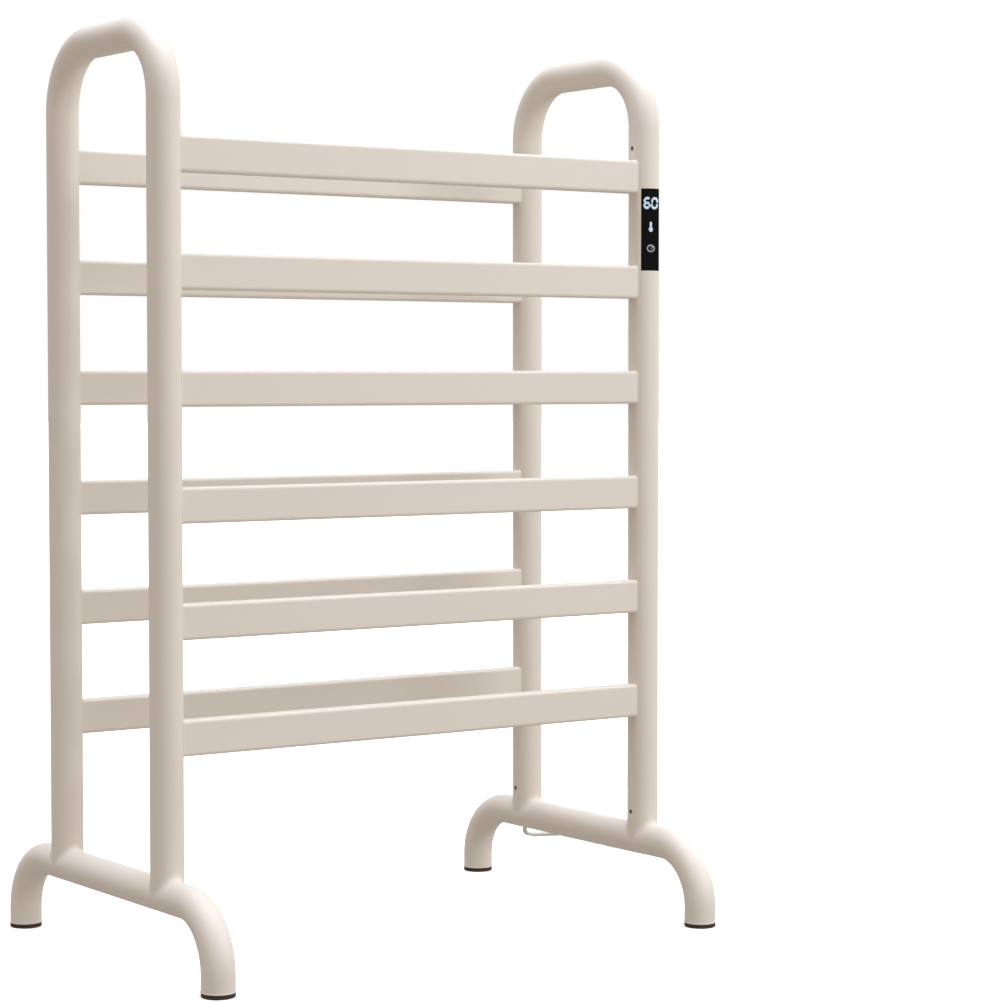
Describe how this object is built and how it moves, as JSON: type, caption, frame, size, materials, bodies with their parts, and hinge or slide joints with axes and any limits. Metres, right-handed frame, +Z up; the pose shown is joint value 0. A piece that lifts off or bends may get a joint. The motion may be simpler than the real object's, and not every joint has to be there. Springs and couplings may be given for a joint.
{
  "type": "heated towel rail",
  "caption": "Free-standing electric towel rail: two bent-tube end frames with two rows of flat heated rails, a control panel with keys, and a mains cord.",
  "frame": {"origin": "on the floor, below the middle of the frame", "axes": "+X along the rails towards the end frame with the control panel, +Y from the front row of rails to the rear row, +Z up"},
  "size_m": [0.8088, 0.5615, 0.85],
  "materials": {
    "frame_coat": "satin",
    "rail_coat": "satin",
    "bare_steel": "satin",
    "foot_rubber": "matte",
    "heater_sleeve": "matte",
    "joint_plastic": "matte",
    "screw_steel": "satin",
    "wire_sleeve": "matte",
    "panel_black": "gloss",
    "housing_plastic": "matte",
    "board_green": "satin",
    "cord_grey": "matte",
    "tie_strap": "matte",
    "plug_grey": "satin",
    "pin_brass": "polished"
  },
  "bodies": {
    "frame": {"left_hoop": "frame_coat", "left_foot_tube": "frame_coat", "left_spigots": "bare_steel", "front_left_foot_cap": "foot_rubber", "rear_left_foot_cap": "foot_rubber", "right_hoop": "frame_coat", "right_foot_tube": "frame_coat", "right_spigots": "bare_steel", "front_right_foot_cap": "foot_rubber", "rear_right_foot_cap": "foot_rubber", "front_rail_1": "rail_coat", "front_heating_loop_1": "heater_sleeve", "front_rail_2": "rail_coat", "front_heating_loop_2": "heater_sleeve", "front_rail_3": "rail_coat", "front_heating_loop_3": "heater_sleeve", "front_rail_4": "rail_coat", "front_heating_loop_4": "heater_sleeve", "front_rail_5": "rail_coat", "front_heating_loop_5": "heater_sleeve", "front_rail_6": "rail_coat", "front_heating_loop_6": "heater_sleeve", "front_wire_joints": "joint_plastic", "rear_rail_1": "rail_coat", "rear_heating_loop_1": "heater_sleeve", "rear_rail_2": "rail_coat", "rear_heating_loop_2": "heater_sleeve", "rear_rail_3": "rail_coat", "rear_heating_loop_3": "heater_sleeve", "rear_rail_4": "rail_coat", "rear_heating_loop_4": "heater_sleeve", "rear_rail_5": "rail_coat", "rear_heating_loop_5": "heater_sleeve", "rear_rail_6": "rail_coat", "rear_heating_loop_6": "heater_sleeve", "rear_wire_joints": "joint_plastic", "foot_screws": "screw_steel", "control_screw": "screw_steel", "thermal_cutout": "joint_plastic", "wiring_harness": "wire_sleeve", "front_panel": "panel_black", "control_housing": "housing_plastic", "control_board": "board_green", "display_block": "housing_plastic", "key_switches": "housing_plastic", "cord_gland": "cord_grey", "power_cord": "cord_grey", "cord_hank": "cord_grey", "cord_tie": "tie_strap", "plug_body": "plug_grey", "plug_pins": "pin_brass", "pin_sleeves": "plug_grey"},
    "temperature_key": {"temperature_key": "panel_black"},
    "timer_key": {"timer_key": "panel_black"}
  },
  "joints": [
    {"name": "temperature_key_press", "type": "slide", "parent": "frame", "child": "temperature_key", "axis": [0, 1, 0], "range_m": [0, 0.0005], "stiffness_N_per_m": 1500, "springref_m": -0.0002},
    {"name": "timer_key_press", "type": "slide", "parent": "frame", "child": "timer_key", "axis": [0, 1, 0], "range_m": [0, 0.0005], "stiffness_N_per_m": 1500, "springref_m": -0.0002}
  ]
}
